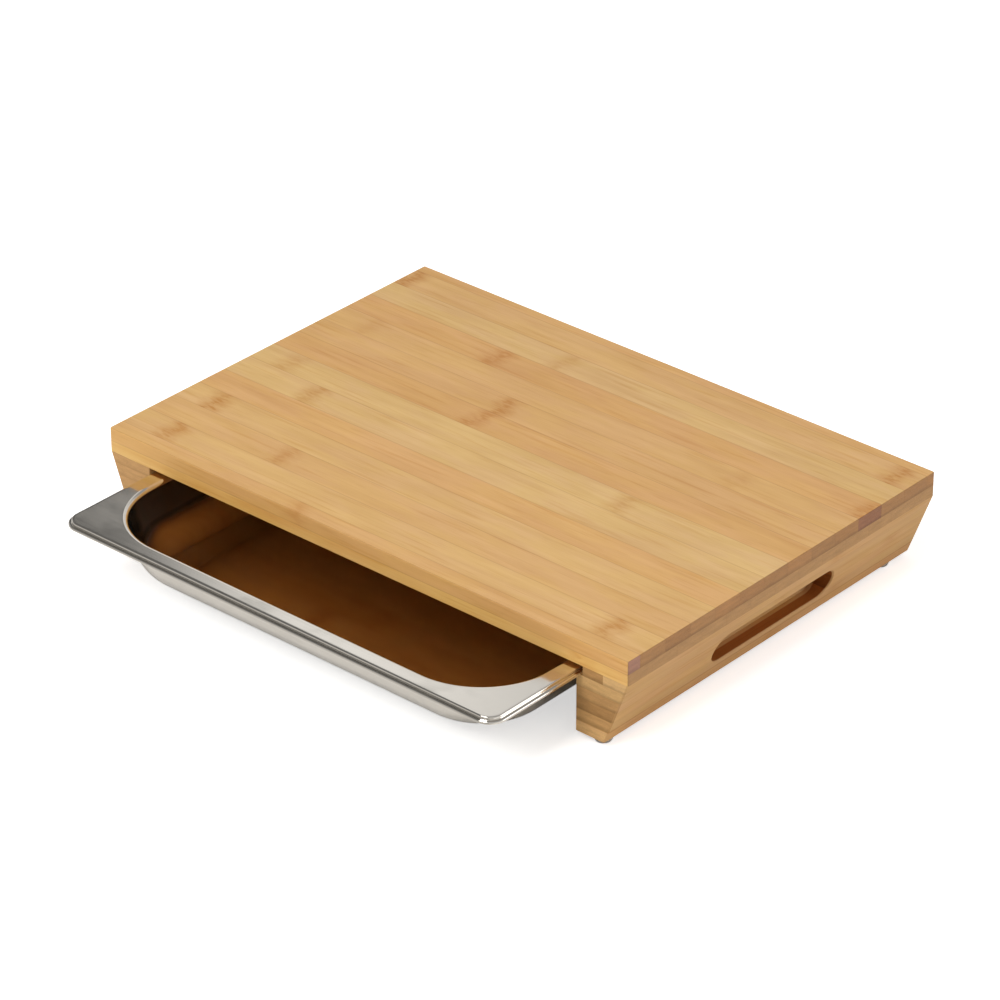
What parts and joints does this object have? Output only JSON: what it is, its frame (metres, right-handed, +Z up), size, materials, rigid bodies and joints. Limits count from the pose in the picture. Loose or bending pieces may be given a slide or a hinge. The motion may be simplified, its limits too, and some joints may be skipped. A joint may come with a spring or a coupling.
{
  "type": "cutting board with drawer tray",
  "caption": "Bamboo cutting board on two side rails with hand grips; a stainless steel pan slides out from under it like a drawer.",
  "frame": {"origin": "centre of the cutting surface, on top of the board", "axes": "+X to the right along the long front edge, -Y towards the front where the pan pulls out, +Z up out of the cutting surface"},
  "size_m": [0.39, 0.3445, 0.0615],
  "materials": {
    "bamboo_top": "oiled bamboo, satin, long grain along X with node marks",
    "bamboo_under": "oiled bamboo, satin",
    "bamboo_rail": "oiled bamboo, edge grain and end grain, satin",
    "tongue_wood": "raw hardwood",
    "bumper": "translucent grey silicone",
    "steel": "bright satin stainless steel"
  },
  "bodies": {
    "board_frame": {"foot_back_left": "bumper", "foot_back_right": "bumper", "foot_front_left": "bumper", "foot_front_right": "bumper", "left_rail_layer_1": "bamboo_rail", "left_rail_layer_2": "bamboo_rail", "left_rail_layer_3": "bamboo_rail", "left_rail_layer_4": "bamboo_rail", "left_rail_layer_5": "bamboo_rail", "left_rail_layer_6": "bamboo_rail", "left_tongue": "tongue_wood", "right_rail_layer_1": "bamboo_rail", "right_rail_layer_2": "bamboo_rail", "right_rail_layer_3": "bamboo_rail", "right_rail_layer_4": "bamboo_rail", "right_rail_layer_5": "bamboo_rail", "right_rail_layer_6": "bamboo_rail", "right_tongue": "tongue_wood", "top_strip_01": "bamboo_top", "top_strip_02": "bamboo_top", "top_strip_03": "bamboo_top", "top_strip_04": "bamboo_top", "top_strip_05": "bamboo_top", "top_strip_06": "bamboo_top", "top_strip_07": "bamboo_top", "top_strip_08": "bamboo_top", "top_strip_09": "bamboo_top", "top_strip_10": "bamboo_top", "top_strip_11": "bamboo_top", "top_strip_12": "bamboo_top", "top_strip_13": "bamboo_top", "top_strip_14": "bamboo_top", "under_strip_01": "bamboo_under", "under_strip_02": "bamboo_under", "under_strip_03": "bamboo_under", "under_strip_04": "bamboo_under", "under_strip_05": "bamboo_under", "under_strip_06": "bamboo_under", "under_strip_07": "bamboo_under", "under_strip_08": "bamboo_under", "under_strip_09": "bamboo_under", "under_strip_10": "bamboo_under", "under_strip_11": "bamboo_under", "under_strip_12": "bamboo_under", "under_strip_13": "bamboo_under"},
    "pan_drawer": {"drawer_pan": "steel"}
  },
  "joints": [
    {"name": "pan_slide", "type": "slide", "parent": "board_frame", "child": "pan_drawer", "axis": [0, -1, 0], "range_m": [-0.0735, 0.16]}
  ]
}
